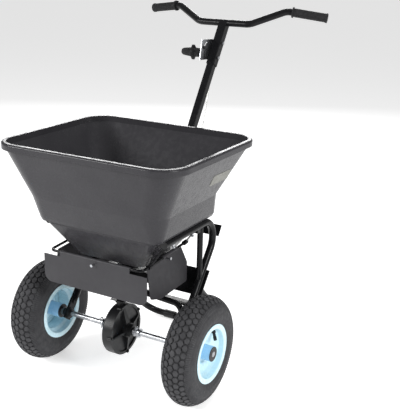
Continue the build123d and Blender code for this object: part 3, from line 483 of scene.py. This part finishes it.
def add_rim(side):
    """Rolled-edge rim with its dished disc; the shallow side of the dish faces outwards."""
    node = side + "_rim"
    hand = 1 if side == "right" else -1
    place = Matrix.Translation(centre(node)) @ Matrix.Rotation(0 if hand > 0 else pi, 4, "Z")
    shape = bmesh.new()
    revolve(shape, rounded(RIM_OUTLINE, RIM_SOFTNESS), place, RIM_STEPS)
    revolve(shape, rounded(DISC_OUTLINE, DISC_SOFTNESS), place, RIM_STEPS)
    body = "axle" if side == "right" else "left_wheel"
    piece(side + "_pressed_rim", shape, body, [FINISH["rim_paint"]], [node], 50)


# ---------------------------------------------------------------- handle


def along(start, end):
    """Placement whose X axis runs from start to end."""
    run = (end - start).normalized()
    return Matrix.Translation(start) @ run.to_track_quat("X", "Z").to_matrix().to_4x4()


def add_grip(side):
    """Ribbed sleeve with a collar at its inner end and a closed cap at its outer end."""
    hand = 1 if side == "right" else -1
    inner, outer = (at(hand * x, y, z) for x, y, z in (GRIP_INNER, GRIP_OUTER))
    length = (outer - inner).length / MM
    first, last = GRIP_START + GRIP_PLAIN_START, length - GRIP_PLAIN_END
    pitch = (last - first) / GRIP_RIBS
    outline = [(GRIP_START + x, r) for x, r in GRIP_COLLAR]
    for rib in range(GRIP_RIBS):
        x = first + rib * pitch
        outline.append((x, GRIP_R - GRIP_GROOVE))
        outline += [(x + pitch * share, GRIP_R) for share in (GRIP_RIB_FROM, GRIP_RIB_TO)]
    outline.append((last, GRIP_R))
    outline += [(length + x, r) for x, r in GRIP_CAP]
    shape = bmesh.new()
    revolve(shape, outline, along(inner, outer), GRIP_STEPS, closed=False)
    finishes = [FINISH["grip_rubber"]]
    piece(side + "_ribbed_grip", shape, "chassis", finishes, [side + "_grip"], 50)


def add_lever_knob():
    """Two fluted sleeves with a flange between them, which has a pointed ear above and below."""
    place = Matrix.Translation(at(*LEVER_KNOB_AT)) @ Matrix.Rotation(pi, 4, "Z")
    outline = NEAR_SLEEVE + FLANGE + FAR_SLEEVE
    shape = bmesh.new()
    rings = revolve(shape, outline, place, LEVER_KNOB_STEPS, closed=False)
    axis_start, axis = place.translation, place.to_3x3() @ Vector((1, 0, 0))
    for step, ring in enumerate(rings):
        turn = 2 * pi * step / LEVER_KNOB_STEPS
        flute = 1 - FLUTE_DEPTH * max(0, cos(FLUTES * turn)) ** FLUTE_POWER
        ear = EAR_HEIGHT * abs(cos(turn)) ** EAR_POWER
        for vertex, (x, r) in zip(ring, outline):
            on_axis = axis_start + axis * x * MM
            scale = 1
            if (x, r) in FLANGE:
                scale = 1 + ear / r
            elif FLUTED_FROM <= r < FLUTED_TO:
                scale = flute
            vertex.co = on_axis + (vertex.co - on_axis) * scale
    piece("lever_fluted_knob", shape, "lever", [FINISH["grip_rubber"]], ["lever_grip"], 50)


def add_label():
    """Plain stuck-on label, a little proud of the wall, with rounded corners."""
    shape = bmesh.new()
    outline = rounded(LABEL_CORNERS, LABEL_SOFTNESS)
    sheets = []
    for proud in LABEL_FACES:
        spots = [at(HOPPER_WALL_X + (z - HOPPER_WALL_Z) * HOPPER_WALL_LEAN + proud, y, z) for y, z in outline]
        sheets.append([shape.verts.new(spot) for spot in spots])
        shape.faces.new(sheets[-1])
    for index in range(len(outline)):
        after = (index + 1) % len(outline)
        shape.faces.new((sheets[0][index], sheets[0][after], sheets[1][after], sheets[1][index]))
    piece("blank_wall_label", shape, "chassis", [LABEL])


for side in ("left", "right"):
    add_tyre(side)
    add_rim(side)
    add_grip(side)
add_lever_knob()
add_label()


# ---------------------------------------------------------------- floor, light and camera


def add_floor():
    shape = bmesh.new()
    signs = ((-1, -1), (1, -1), (1, 1), (-1, 1))
    shape.faces.new([shape.verts.new((x * FLOOR_HALF, y * FLOOR_HALF, 0)) for x, y in signs])
    mesh = bpy.data.meshes.new("floor")
    shape.to_mesh(mesh)
    shape.free()
    glow = {"Emission_Color": (1, 1, 1, 1), "Emission_Strength": FLOOR_GLOW}
    glow["Specular_IOR_Level"] = FLOOR_SPECULAR
    mesh.materials.append(shader("floor_paper", FLOOR_COLOUR, FLOOR_ROUGHNESS, **glow))
    floor = bpy.data.objects.new("floor", mesh)
    bpy.context.scene.collection.objects.link(floor)


def add_lamp(name, place, size, power):
    """Rectangular softbox aimed at the middle of the object."""
    data = bpy.data.lights.new(name, "AREA")
    data.shape = "RECTANGLE"
    data.size, data.size_y = size
    data.energy = power
    lamp = bpy.data.objects.new(name, data)
    lamp.location = place
    lamp.rotation_euler = (MIDDLE - Vector(place)).to_track_quat("-Z", "Y").to_euler()
    bpy.context.scene.collection.objects.link(lamp)


def add_world():
    world = bpy.data.worlds.new("studio")
    bpy.context.scene.world = world
    world.use_nodes = True
    world.node_tree.nodes["Background"].inputs["Color"].default_value = (1, 1, 1, 1)
    world.node_tree.nodes["Background"].inputs["Strength"].default_value = WORLD_LIGHT


def add_camera():
    data = bpy.data.cameras.new("camera")
    data.lens = CAMERA_LENS
    data.clip_end = CAMERA_SEES
    camera = bpy.data.objects.new("camera", data)
    axes = Matrix((CAMERA_RIGHT, CAMERA_UP, CAMERA_BACK)).transposed()
    camera.matrix_world = Matrix.Translation(at(*CAMERA_AT)) @ axes.to_4x4()
    bpy.context.scene.collection.objects.link(camera)
    bpy.context.scene.camera = camera


MIDDLE = (cad_low + cad_high) / 2
add_floor()
add_world()
for lamp_facts in LAMPS:
    add_lamp(*lamp_facts)
add_camera()
bpy.context.scene.view_settings.view_transform = "Standard"
